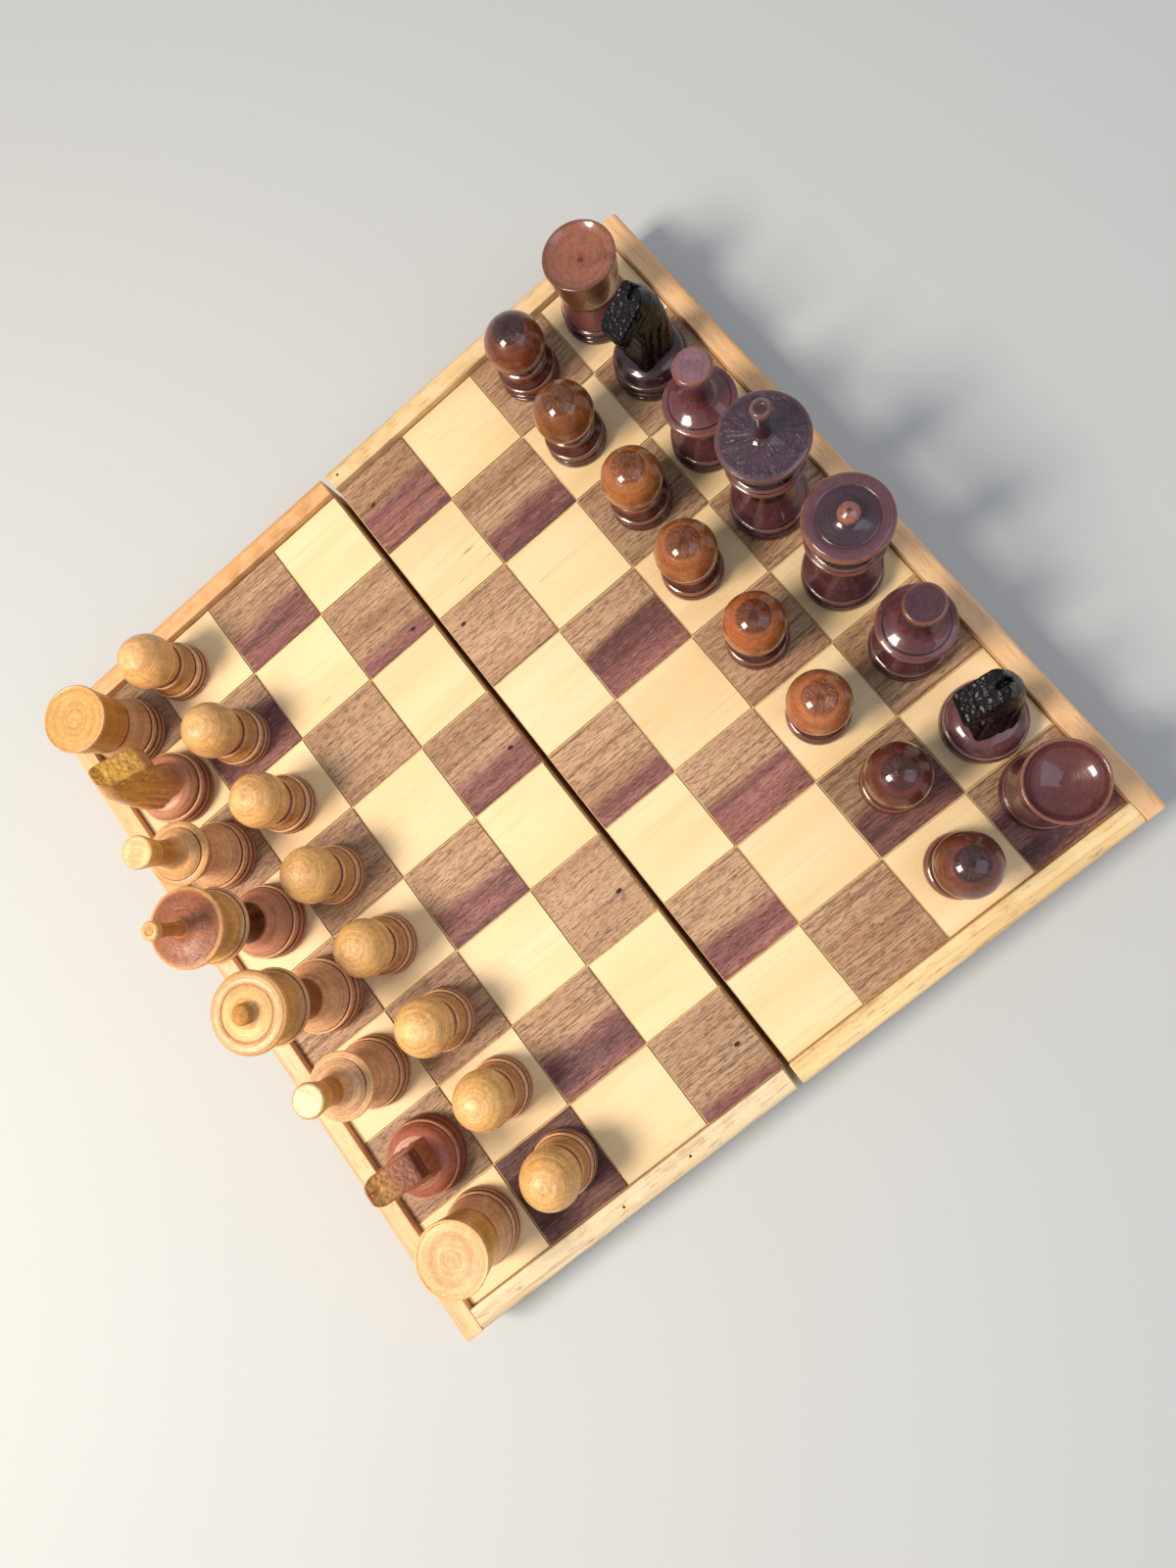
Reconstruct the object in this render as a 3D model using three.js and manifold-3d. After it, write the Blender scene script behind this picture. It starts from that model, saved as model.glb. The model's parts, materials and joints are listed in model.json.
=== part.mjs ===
// Folding wooden chess set, laid open for play, in millimetres with +Z up.
//
// Two shallow trays are hinged at the seam between ranks 4 and 5. Their bottoms are the
// playing surface, so the open trays face down and the thirty-two men store inside when shut.
// X runs along the files from a to h, Y along the ranks from the light side to the dark side,
// and the origin is the middle of the footprint at the lowest point, under the hinge barrels.
import * as THREE from 'three';
import { mergeVertices } from 'three/addons/utils/BufferGeometryUtils.js';
import Module from 'manifold-3d';

const wasm = await Module();
wasm.setup();

// ---- Driving dimensions: board ----
const filePitch = 36;
const rankPitch = 37.5;
const seamRank = 34.5; // ranks 4 and 5, trimmed at the saw cut that parts the halves
const edgeRank = 38.5; // ranks 1 and 8
const seamGap = 2.6;
const railWidth = 8.5;
const railHeight = 25;
const railRound = 2.4;
const rimRise = 3.5; // how far the rails stand proud of the squares
const panelThickness = 4;
const ledgeWidth = 3.5;
const seamRailWidth = 14;
const glueGap = 0.1;

// ---- Driving dimensions: hinges ----
const barrelRadius = 1.5;
const closedGap = 0.3;
const hingeX = 90;
const leafLength = 25;
const leafWidth = 10.5;
const leafThickness = 0.9;
const knuckleShare = 0.33;
const pinRadius = 0.6;
const fitGap = 0.15;
const screwOffset = 8; // along the leaf, either side of its middle
const screwY = 6.4;
const screwHeadRadius = 1.9;
const screwShankRadius = 0.9;
const screwLength = 8;

// ---- Driving dimensions: hook latch ----
const latchZ = 10;
const latchReach = 17;
const hookThickness = 1.2;
const hookGap = 0.3;
const latchHeadRadius = 2.6;
const latchHeadThickness = 1.2;
const latchShankRadius = 1;
const latchScrewDepth = 7; // how deep it goes into the rail

// ---- Derived values ----
const playWidth = 8 * filePitch;
const seamY = seamGap / 2;
const innerY = seamY + seamRank + 2 * rankPitch + edgeRank;
const outerX = playWidth / 2 + railWidth;
const outerY = innerY + railWidth;
const rimZ = barrelRadius + closedGap / 2; // rim of the open tray, which faces down
const railTopZ = rimZ + railHeight;
const squareZ = railTopZ - rimRise;
const panelZ = squareZ - panelThickness;
const ledgeX = playWidth / 2 - ledgeWidth;
const ledgeY = innerY - ledgeWidth;
const screwSpots = [-screwOffset, screwOffset];
const latchStandOff = latchHeadThickness + hookThickness + 2 * hookGap;

// ---- Finishes ----
const finish = (color, roughness, metalness = 0) => ({ color, roughness, metalness });
const finishes = {
  maple: finish(0xe3c48c, 0.55),
  squares: finish(0xb9946c, 0.5),
  brass: finish(0xc39a4e, 0.35, 1),
  lightMan: finish(0xd9a760, 0.35),
  lightRedMan: finish(0x9c5a38, 0.35),
  darkMan: finish(0x5b3127, 0.3),
  blackMan: finish(0x1c1518, 0.3),
};

// ---- Solids ----
function toSolid(geometry) {
  const bare = geometry.clone();
  bare.deleteAttribute('normal');
  bare.deleteAttribute('uv');
  const merged = mergeVertices(bare, 1e-4);
  const vertProperties = new Float32Array(merged.attributes.position.array);
  const triVerts = new Uint32Array(merged.index.array);
  return new wasm.Manifold(new wasm.Mesh({ numProp: 3, vertProperties, triVerts }));
}

function toGeometry(solid) {
  const mesh = solid.getMesh();
  const geometry = new THREE.BufferGeometry();
  geometry.setAttribute('position', new THREE.BufferAttribute(mesh.vertProperties, 3));
  geometry.setIndex(new THREE.BufferAttribute(mesh.triVerts, 1));
  geometry.computeVertexNormals();
  return geometry;
}

const join = (...geometries) => toGeometry(
  geometries.map(toSolid).reduce((whole, next) => whole.add(next)));

const cut = (geometry, ...tools) => toGeometry(
  tools.map(toSolid).reduce((rest, tool) => rest.subtract(tool), toSolid(geometry)));

function block(x0, x1, y0, y1, z0, z1) {
  const geometry = new THREE.BoxGeometry(x1 - x0, y1 - y0, z1 - z0);
  return geometry.translate((x0 + x1) / 2, (y0 + y1) / 2, (z0 + z1) / 2);
}

// A cylinder along X, with a vertex row at its very bottom.
function rodX(radius, x0, x1, y, z, sides = 16) {
  const geometry = new THREE.CylinderGeometry(radius, radius, x1 - x0, sides);
  return geometry.rotateZ(Math.PI / 2).translate((x0 + x1) / 2, y, z);
}

// A solid of revolution about Z from [radius, height] points that start and end on the axis.
function turned(outline, sides = 12) {
  const profile = outline.map(([radius, height]) => new THREE.Vector2(radius, height));
  return new THREE.LatheGeometry(profile, sides).rotateX(Math.PI / 2);
}

// Points on an elliptical stretch of an outline, its angles in degrees from the horizontal.
function sweep(radiusAt, heightAt, halfWidth, halfHeight, from, to, steps) {
  return Array.from({ length: steps + 1 }, (_, step) => {
    const angle = THREE.MathUtils.degToRad(from + (to - from) * step / steps);
    const radius = radiusAt + halfWidth * Math.cos(angle);
    return [Math.abs(radius) < 1e-9 ? 0 : radius, heightAt + halfHeight * Math.sin(angle)];
  });
}

const root = new THREE.Group();

function addMesh(parent, name, geometry, look) {
  const mesh = new THREE.Mesh(geometry, new THREE.MeshStandardMaterial(finishes[look]));
  mesh.name = name;
  parent.add(mesh);
  return mesh;
}

// ---- Screws ----
// Both kinds point along +Z from a head whose outer face is at z = 0. spare widens one all
// round into the tool that cuts its hole.
function countersunkScrew(spare = 0) {
  const headRadius = screwHeadRadius + spare;
  const shankRadius = screwShankRadius + spare;
  const start = spare ? -1 : 0;
  const tip = screwLength + spare;
  return turned([
    [0, start], [headRadius, start], [headRadius, 0.1], [shankRadius, leafThickness],
    [shankRadius, tip - 1], [0, tip],
  ]);
}

function latchScrew(spare = 0) {
  const shankRadius = latchShankRadius + spare;
  const tip = latchStandOff + latchScrewDepth + spare;
  return turned([
    [0, 0], [latchHeadRadius - 0.6, 0], [latchHeadRadius, 0.5],
    [latchHeadRadius, latchHeadThickness], [shankRadius, latchHeadThickness],
    [shankRadius, tip - 1], [0, tip],
  ]);
}

// The latch screws stand in the outer faces of the end rails and point into the wood.
const latchScrewInFarRail = (spare = 0) => latchScrew(spare)
  .rotateX(Math.PI / 2).translate(0, outerY + latchStandOff, latchZ);

// ---- One half of the box, on the dark side of the seam ----
// A rail is an L: a tall outer board, rounded at its outer top edge, with an inner ledge that
// carries the panel. side is 1 where the outer face looks along the section's +X, else -1.
function outerBoard(length, side = 1) {
  const roundX = side * (railWidth - railRound);
  const roundStart = side > 0 ? 0 : Math.PI;
  const shape = new THREE.Shape();
  shape.moveTo(0, 0);
  shape.lineTo(side * railWidth, 0);
  shape.lineTo(side * railWidth, railHeight - railRound);
  shape.absarc(roundX, railHeight - railRound, railRound, roundStart, Math.PI / 2, side < 0);
  shape.lineTo(0, railHeight);
  shape.closePath();
  return new THREE.ExtrudeGeometry(shape, { depth: length, bevelEnabled: false, curveSegments: 4 });
}

function endRail() {
  // The section's own X becomes +Y and its Y becomes +Z.
  const board = outerBoard(2 * outerX).rotateX(Math.PI / 2).rotateZ(Math.PI / 2)
    .translate(-outerX, innerY, rimZ);
  const inside = playWidth / 2 - glueGap;
  const ledge = block(-inside, inside, ledgeY, innerY + 1, rimZ, panelZ);
  return cut(join(board, ledge), latchScrewInFarRail(fitGap));
}

function sideRail(side) {
  const boardEnd = innerY - glueGap;
  const board = outerBoard(boardEnd - seamY, side).rotateX(Math.PI / 2)
    .translate(side * playWidth / 2, boardEnd, rimZ);
  const edges = [side * ledgeX, side * (playWidth / 2 + 1)];
  const ledge = block(
    Math.min(...edges), Math.max(...edges), seamY, ledgeY - glueGap, rimZ, panelZ);
  return join(board, ledge);
}

// The rail under the seam edge of the panel, let in for the hinge leaves.
function seamRail() {
  const inside = ledgeX - glueGap;
  const rail = block(-inside, inside, seamY, seamY + seamRailWidth, rimZ, panelZ);
  const leafTop = rimZ + leafThickness;
  const tools = [-hingeX, hingeX].flatMap((x) => {
    const reach = leafLength / 2 + 2 * closedGap;
    return [
      block(x - reach, x + reach, 0, leafWidth + closedGap, 0, leafTop + fitGap),
      block(x - reach, x + reach, 0, barrelRadius + closedGap, 0, 2 * barrelRadius + closedGap),
      ...screwSpots.map((dx) => countersunkScrew(fitGap).translate(x + dx, screwY, rimZ)),
    ];
  });
  return cut(rail, ...tools);
}

const panel = () => block(
  -playWidth / 2 + glueGap, playWidth / 2 - glueGap, seamY, innerY - glueGap, panelZ, squareZ);

function addHalf(prefix, turn) {
  const half = new THREE.Group();
  half.rotation.z = turn;
  const left = turn ? 'h' : 'a';
  const right = turn ? 'a' : 'h';
  addMesh(half, `${prefix}_playing_panel`, panel(), 'squares');
  addMesh(half, `${prefix}_end_rail`, endRail(), 'maple');
  addMesh(half, `${prefix}_side_rail_${left}`, sideRail(-1), 'maple');
  addMesh(half, `${prefix}_side_rail_${right}`, sideRail(1), 'maple');
  addMesh(half, `${prefix}_seam_rail`, seamRail(), 'maple');
  root.add(half);
}

// ---- Butt hinges ----
// Three knuckles: the far leaf has the middle one and the near leaf the outer two.
const knuckleEdge = leafLength * knuckleShare / 2;
const farKnuckles = [[-knuckleEdge + fitGap, knuckleEdge - fitGap]];
const nearKnuckles = [[-leafLength / 2, -knuckleEdge - fitGap], [knuckleEdge + fitGap, leafLength / 2]];

// A leaf lies on the +Y side of the pin, with its screws through it.
function hingeLeaf(knuckles) {
  const half = leafLength / 2;
  const top = rimZ + leafThickness;
  const solids = [block(-half, half, barrelRadius + closedGap, leafWidth, rimZ, top)];
  for (const [x0, x1] of knuckles) {
    solids.push(rodX(barrelRadius, x0, x1, 0, barrelRadius));
    solids.push(block(x0, x1, 0, barrelRadius + 2 * closedGap, rimZ, top));
  }
  const bore = rodX(pinRadius + fitGap, -half - 1, half + 1, 0, barrelRadius, 12);
  const sinks = screwSpots.map((dx) => countersunkScrew(fitGap).translate(dx, screwY, rimZ));
  return cut(join(...solids), bore, ...sinks);
}

function hingePin() {
  const half = leafLength / 2;
  const headRadius = 1.1;
  const pin = turned([
    [0, -half - 0.7], [headRadius, -half - 0.5], [headRadius, -half - 0.2],
    [pinRadius, -half - 0.2], [pinRadius, half + 0.2], [headRadius, half + 0.2],
    [headRadius, half + 0.5], [0, half + 0.7],
  ]);
  return pin.rotateY(Math.PI / 2).translate(0, 0, barrelRadius);
}

function addHinge(label, x) {
  const hinge = new THREE.Group();
  hinge.position.x = x;
  addMesh(hinge, `hinge_${label}_far_leaf`, hingeLeaf(farKnuckles), 'brass');
  const nearLeaf = hingeLeaf(nearKnuckles).rotateZ(Math.PI);
  addMesh(hinge, `hinge_${label}_near_leaf`, nearLeaf, 'brass');
  addMesh(hinge, `hinge_${label}_pin`, hingePin(), 'brass');
  for (const [side, turn] of [['far', 0], ['near', Math.PI]]) {
    screwSpots.forEach((dx, index) => {
      const screw = countersunkScrew().translate(dx, screwY, rimZ).rotateZ(turn);
      addMesh(hinge, `hinge_${label}_${side}_screw_${index + 1}`, screw, 'brass');
    });
  }
  root.add(hinge);
}

// ---- Hook latch on the end rails ----
// The hook is cut from sheet. It lies along +X, with its mouth facing down.
function latchHook() {
  const eyeRadius = 3.2;
  const eyeHoleRadius = latchShankRadius + hookGap;
  const catchRadius = latchShankRadius + 0.4;
  const bandWidth = 2.6;
  const shape = new THREE.Shape();
  shape.absarc(0, 0, eyeRadius, Math.PI * 0.3, Math.PI * 1.8, false);
  shape.lineTo(latchReach - 3, catchRadius);
  shape.lineTo(latchReach, catchRadius);
  shape.absarc(latchReach, 0, catchRadius, Math.PI / 2, -Math.PI * 0.2, true);
  shape.absarc(latchReach, 0, catchRadius + bandWidth, -Math.PI * 0.25, Math.PI / 2, false);
  shape.closePath();
  const eye = new THREE.Path();
  eye.absarc(0, 0, eyeHoleRadius, 0, Math.PI * 2, true);
  shape.holes.push(eye);
  const hook = new THREE.ExtrudeGeometry(
    shape, { depth: hookThickness, bevelEnabled: false, curveSegments: 8 });
  return hook.rotateX(Math.PI / 2).translate(0, -outerY - hookGap, latchZ);
}

function addLatch() {
  addMesh(root, 'latch_hook', latchHook(), 'brass');
  addMesh(root, 'latch_pivot_screw', latchScrewInFarRail().rotateZ(Math.PI), 'brass');
  addMesh(root, 'latch_catch_screw', latchScrewInFarRail(), 'brass');
}

// ---- Chessmen, each turned about its own axis with its foot at z = 0 ----
// Stepped foot that every man stands on, up to the foot of its stem.
const foot = (radius, height) => [
  [0, 0], [radius, 0], [radius, height * 0.6], [radius * 0.93, height],
];

// Widest radii of the tops, which the two sides' turners made a little differently.
const tops = {
  light: { dome: 11, rook: 13.4, shoulder: 12.6, peg: 6.2, king: 14.5, queen: 14.6 },
  dark: { dome: 11.5, rook: 13.8, shoulder: 13.6, peg: 7, king: 15.7, queen: 15 },
};

const pawn = ({ dome }) => turned([
  ...foot(12, 5), [11.2, 8], [9, 12.5], [9.6, 16],
  ...sweep(0, 24.5, dome, 11.5, -30, 90, 5),
]);

const rook = ({ rook: top }) => turned([
  ...foot(14, 5.5), [13, 8.5], [10.6, 15], [11, 20.5], [11.6, 22], [top, 38.5],
  [top - 1.4, 38.5], [7, 36.2], [0, 35.2],
]);

const bishop = ({ shoulder, peg }) => turned([
  ...foot(14, 5.5), [13, 9], [8.2, 18], [7.6, 22], [11, 26.5], [shoulder, 30.5],
  [shoulder - 1, 34], [5.6, 39], [4.8, 45], [peg, 57.5], [0, 58],
]);

// Trumpet foot, waist, collar and the underside of the crown that king and queen share.
const royalStem = (crown) => [
  ...foot(15, 6), [13.4, 9.5], [8.6, 19], [5.6, 31], [6.4, 36], [14.2, 42.5], [14.2, 44.5],
  [10.4, 50], [10.8, 53.5], [crown, 58.5],
];

const king = ({ king: crown }) => turned([
  ...royalStem(crown), [crown, 60.5], [3.2, 63], [2.9, 70], [3.4, 80], [0, 81],
]);

const queen = ({ queen: crown }) => turned([
  ...royalStem(crown), [crown - 1, 61], [8.4, 60], [4.6, 62.4], [2.6, 66], [0, 66.8],
]);

const neckHeight = 10; // where the carved neck starts, inside the turned stand
const throatHeight = 30; // above this the head keeps one thickness
const earHeight = 54.5;
const neckThickness = 15;
const headThickness = 11;

// Side view of the carved head: u points the way the horse looks, the second number is height.
const headOutline = [
  [-8.5, neckHeight], [-10.5, 20], [-10, 32], [-7.8, 42], [-4.5, 49], [-1.5, earHeight],
  [0.8, 51.5], [6, 47.5], [11.2, 43.6], [13.4, 40.5], [13.2, 37], [11, 34.8], [7, 36.4],
  [4.6, 33], [4.8, 24], [7.5, 15], [9, neckHeight],
];

// lean is how far the ears stand off to the horse's left of the foot.
function head(lean) {
  const shape = new THREE.Shape(headOutline.map(([u, height]) => new THREE.Vector2(u, height)));
  const blank = new THREE.ExtrudeGeometry(shape, { depth: 1, bevelEnabled: false });
  blank.rotateX(Math.PI / 2).translate(0, 0.5, 0);
  const points = blank.attributes.position;
  for (let index = 0; index < points.count; index += 1) {
    const height = points.getZ(index);
    const thickness = THREE.MathUtils.mapLinear(
      Math.min(height, throatHeight), neckHeight, throatHeight, neckThickness, headThickness);
    const offset = THREE.MathUtils.mapLinear(height, neckHeight, earHeight, 0, lean);
    points.setY(index, points.getY(index) * thickness + offset);
  }
  return blank;
}

const knight = (top, lean = 0) => join(
  turned([...foot(15, 6), [13.8, 9.5], [11.5, 13.5], [0, 14.5]]), head(lean));

const men = { pawn, rook, bishop, king, queen, knight };

// ---- Men on the board ----
const files = 'abcdefgh';
const backRank = ['rook', 'knight', 'bishop', 'king', 'queen', 'bishop', 'knight', 'rook'];
const fileX = (file) => (file + 0.5 - 4) * filePitch;
const backRankY = innerY - edgeRank / 2;
const pawnRankY = innerY - edgeRank - rankPitch / 2;

// How far, across and along the board, men stand off the middle of their squares.
const strays = {
  a8: [-0.5, -2], b8: [-3.8, -0.4], c8: [-2, -3.5], d8: [-2.5, -2.5], g8: [2.4, 1], h8: [-3, 0],
  b7: [-1.5, -3], d7: [-1.5, -2.5], e7: [-1, -1], f7: [-1, -2], g7: [-1, 2],
  a1: [2.5, 0], b1: [-0.3, 2.5], c1: [-1.5, 1.5], d1: [-3, 2.5], e1: [-1.5, 4], f1: [-1.5, 3],
  g1: [0, 1.5], h1: [-3, 3.5],
  a2: [-3.5, -6], b2: [1, -1], c2: [0, -1.5], d2: [0, -2], e2: [-1, -1.5], g2: [-2.5, 2],
  h2: [-3, 5.5],
};

// The way each knight looks, in degrees anticlockwise from +X.
const knightHeadings = { b1: 93, g1: 86, b8: -85, g8: -105 };
const knightLeans = { g8: -5.5 };

const looks = { b8: 'blackMan', g8: 'blackMan', g1: 'lightRedMan' };

function manName(side, kind, file) {
  const single = kind === 'king' || kind === 'queen';
  return single ? `${side}_${kind}` : `${side}_${kind}_${files[file]}`;
}

function addMan(side, kind, file, y, rank) {
  const square = `${files[file]}${rank}`;
  const [strayX, strayY] = strays[square] ?? [0, 0];
  const look = looks[square] ?? (side === 'light' ? 'lightMan' : 'darkMan');
  const shape = men[kind](tops[side], knightLeans[square]);
  const man = addMesh(root, manName(side, kind, file), shape, look);
  man.position.set(fileX(file) + strayX, y + strayY, squareZ);
  man.rotation.z = THREE.MathUtils.degToRad(knightHeadings[square] ?? 0);
}

addHalf('near', Math.PI);
addHalf('far', 0);
addHinge('a', -hingeX);
addHinge('h', hingeX);
addLatch();
for (let file = 0; file < files.length; file += 1) {
  addMan('light', backRank[file], file, -backRankY, 1);
  addMan('light', 'pawn', file, -pawnRankY, 2);
  addMan('dark', 'pawn', file, pawnRankY, 7);
  addMan('dark', backRank[file], file, backRankY, 8);
}

export default root;
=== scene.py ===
"""Folding wooden chess set laid open for play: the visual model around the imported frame.

Positions come from the frame. Lengths are in metres, except that every name ending in _MM,
every turned outline and the carved knight are written in millimetres.
"""
import json
import random
from math import atan2, copysign, cos, exp, pi, radians, sin, sqrt, tau

import bmesh
import bpy
from mathutils import Matrix, Vector, noise

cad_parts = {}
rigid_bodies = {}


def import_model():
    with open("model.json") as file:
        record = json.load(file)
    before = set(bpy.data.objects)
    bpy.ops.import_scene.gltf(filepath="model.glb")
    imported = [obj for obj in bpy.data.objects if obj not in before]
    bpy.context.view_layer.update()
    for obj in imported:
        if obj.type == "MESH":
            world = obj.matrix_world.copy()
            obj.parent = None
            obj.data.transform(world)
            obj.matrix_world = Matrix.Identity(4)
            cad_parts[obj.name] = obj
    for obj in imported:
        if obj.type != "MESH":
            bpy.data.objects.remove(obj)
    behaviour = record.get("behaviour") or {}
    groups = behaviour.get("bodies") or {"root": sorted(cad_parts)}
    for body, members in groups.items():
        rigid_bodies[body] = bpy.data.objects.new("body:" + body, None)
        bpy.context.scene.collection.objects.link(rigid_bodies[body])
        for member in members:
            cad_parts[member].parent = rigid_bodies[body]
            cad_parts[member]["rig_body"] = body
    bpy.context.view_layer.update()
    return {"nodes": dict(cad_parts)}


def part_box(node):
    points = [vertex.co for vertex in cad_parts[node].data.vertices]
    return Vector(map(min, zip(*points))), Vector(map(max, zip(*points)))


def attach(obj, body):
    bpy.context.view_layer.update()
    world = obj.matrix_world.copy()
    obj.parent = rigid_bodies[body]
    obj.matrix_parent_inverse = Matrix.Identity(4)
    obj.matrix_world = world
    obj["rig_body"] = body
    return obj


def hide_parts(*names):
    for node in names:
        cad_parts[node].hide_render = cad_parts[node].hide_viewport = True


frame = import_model()

MM = 0.001
FILES = "abcdefgh"
HALVES = ("near", "far")


def colour(code):
    """The linear RGBA of a "#rrggbb" colour."""
    channels = [int(code[i:i + 2], 16) / 255 for i in (1, 3, 5)]
    return tuple(c / 12.92 if c <= 0.04045 else ((c + 0.055) / 1.055) ** 2.4 for c in channels) + (1.0,)


# ---- Node materials ----


class Finish:
    """One procedural material, with short calls for the nodes that the finishes share."""

    def __init__(self, name, **constants):
        self.material = bpy.data.materials.new(name)
        self.material.use_nodes = True
        self.tree = self.material.node_tree
        self.shader = self.tree.nodes["Principled BSDF"]
        for socket, value in constants.items():
            self.shader.inputs[socket.replace("_", " ")].default_value = value

    def node(self, kind, inputs, **settings):
        node = self.tree.nodes.new("ShaderNode" + kind)
        for key, value in settings.items():
            setattr(node, key, value)
        for socket, value in inputs.items():
            self.feed(node.inputs[socket], value)
        return node

    def feed(self, socket, value):
        if isinstance(value, bpy.types.NodeSocket):
            self.tree.links.new(value, socket)
        else:
            socket.default_value = colour(value) if isinstance(value, str) else value

    def place(self, scale, attribute=None):
        """Object coordinates, or a stored vector, times a scale for each axis."""
        if attribute:
            source = self.node("Attribute", {}, attribute_name=attribute).outputs["Vector"]
        else:
            source = self.node("TexCoord", {}).outputs["Object"]
        return self.node("VectorMath", {0: source, 1: scale}, operation="MULTIPLY").outputs[0]

    def split(self, attribute):
        source = self.node("Attribute", {}, attribute_name=attribute).outputs["Vector"]
        return self.node("SeparateXYZ", {0: source}).outputs

    def noise(self, vector, scale=1.0, detail=3.0, rough=0.55, warp=0.0):
        inputs = {
            "Vector": vector, "Scale": scale, "Detail": detail, "Roughness": rough, "Distortion": warp}
        return self.node("TexNoise", inputs).outputs["Fac"]

    def grain(self, scale, **settings):
        """Noise at the place in its plank that a piece was cut from."""
        return self.noise(self.place(scale, "grain_at"), **settings)

    def dots(self, vector, scale):
        """Distance to the nearest of a field of scattered points."""
        return self.node("TexVoronoi", {"Vector": vector, "Scale": scale}).outputs["Distance"]

    def math(self, operation, a, b=0.0):
        return self.node("Math", {0: a, 1: b}, operation=operation).outputs[0]

    def times(self, a, b):
        return self.math("MULTIPLY", a, b)

    def span(self, value, low, high, to_low=0.0, to_high=1.0):
        inputs = {"Value": value, 1: low, 2: high, 3: to_low, 4: to_high}
        return self.node("MapRange", inputs, interpolation_type="SMOOTHSTEP").outputs[0]

    def ramp(self, fac, *stops):
        node = self.node("ValToRGB", {"Fac": fac})
        elements = node.color_ramp.elements
        while len(elements) < len(stops):
            elements.new(0.5)
        for element, (position, code) in zip(elements, stops):
            element.position = position
            element.color = colour(code)
        return node.outputs["Color"]

    def mix(self, fac, a, b, blend="MIX"):
        node = self.node("Mix", {0: fac, 6: a, 7: b}, data_type="RGBA", blend_type=blend)
        return node.outputs[2]

    def shaded(self, base, value):
        """A colour times a value."""
        grey = self.node("CombineColor", {0: value, 1: value, 2: value}).outputs[0]
        return self.mix(1.0, base, grey, "MULTIPLY")

    def relief(self, height, depth, under=None):
        """Bump of this depth in metres, over another bump if there is one."""
        inputs = {"Height": height, "Distance": depth, "Strength": 1.0}
        if under:
            inputs["Normal"] = under
        return self.node("Bump", inputs).outputs[0]

    def done(self, base, roughness, normal=None):
        self.feed(self.shader.inputs["Base Color"], base)
        self.feed(self.shader.inputs["Roughness"], roughness)
        if normal:
            self.feed(self.shader.inputs["Normal"], normal)
        return self.material


def edged(f, base, patch, scale, high, share, crumb, glue):
    """A square's tone, with crumbs of one colour along its rim and glue down its sides."""
    base = f.shaded(base, patch["Y"])
    rim = f.times(patch["Z"], f.noise(f.place((scale, scale, scale)), detail=2))
    base = f.mix(f.span(rim, 0.5, high, 0, share), base, crumb)
    return f.mix(f.span(patch["Z"], 1.1, 1.7), base, glue)


def maple_square_finish():
    """Pale inlay: faint long lines, hairline cracks, specks and one tone a square."""
    f = Finish("maple_square", Specular_IOR_Level=0.35)
    patch = f.split("patch")
    broad = f.grain((55, 7, 55), detail=3, warp=0.5)
    lines = f.grain((1300, 22, 400), detail=3)
    base = f.ramp(broad, (0.25, "#debd8b"), (0.5, "#e6c99b"), (0.75, "#ebd3ab"))
    base = f.mix(f.span(lines, 0.52, 0.78, 0, 0.55), base, "#d9b077")
    cracks = f.grain((260, 5, 200), detail=1)
    cracks = f.math("ABSOLUTE", f.math("SUBTRACT", cracks, 0.5))
    rare = f.span(f.grain((26, 9, 26), detail=1), 0.6, 0.66)
    crack = f.times(f.span(cracks, 0.0, 0.006, 0.75, 0), rare)
    base = f.mix(crack, base, "#a5763f")
    speck = f.span(f.dots(f.place((1, 0.45, 1), "grain_at"), 260), 0.035, 0.07, 0.6, 0)
    base = f.mix(speck, base, "#b98a55")
    base = edged(f, base, patch, 700, 0.62, 0.4, "#b98a55", "#3a2618")
    grain = f.math("SUBTRACT", f.times(lines, 0.5), crack)
    return f.done(base, f.span(broad, 0.3, 0.7, 0.42, 0.55), f.relief(grain, 0.00006))


def walnut_square_finish():
    """Dark inlay: beige-brown sapwood with short pores, and reddish heartwood with a dark core."""
    f = Finish("walnut_square", Specular_IOR_Level=0.3)
    patch = f.split("patch")
    broad = f.grain((90, 8, 90), detail=4, warp=0.7)
    sap = f.ramp(broad, (0.28, "#936c52"), (0.48, "#b08a6a"), (0.62, "#be9a7a"), (0.78, "#a07658"))
    heart = f.ramp(broad, (0.28, "#5d3838"), (0.5, "#875453"), (0.72, "#a97466"))
    wander = f.grain((60, 14, 60), detail=3)
    line = f.math("ADD", patch["X"], f.times(f.math("SUBTRACT", wander, 0.5), 0.3))
    base = f.mix(f.span(line, -0.06, 0.12), sap, heart)
    core = f.grain((170, 7, 170), detail=2)
    core = f.times(f.span(core, 0.52, 0.62, 0, 0.6), f.span(line, 0.05, 0.2))
    base = f.mix(core, base, "#4a2f38")
    streaks = f.grain((900, 16, 300), detail=4, warp=0.3)
    base = f.mix(f.span(streaks, 0.52, 0.62, 0, 0.55), base, "#664234")
    pores = f.grain((3000, 240, 900), detail=3, rough=0.65)
    pore = f.span(pores, 0.53, 0.62)
    base = f.mix(f.times(pore, 0.6), base, "#4a3024")
    light = f.span(f.grain((2600, 200, 900), detail=1), 0.6, 0.74, 0, 0.25)
    base = f.mix(light, base, "#dcbc96")
    base = edged(f, base, patch, 800, 0.6, 0.35, "#c69c70", "#2a1a12")
    depth = f.math("SUBTRACT", f.times(streaks, 0.3), pore)
    return f.done(base, f.span(broad, 0.3, 0.7, 0.46, 0.6), f.relief(depth, 0.00009))


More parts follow.
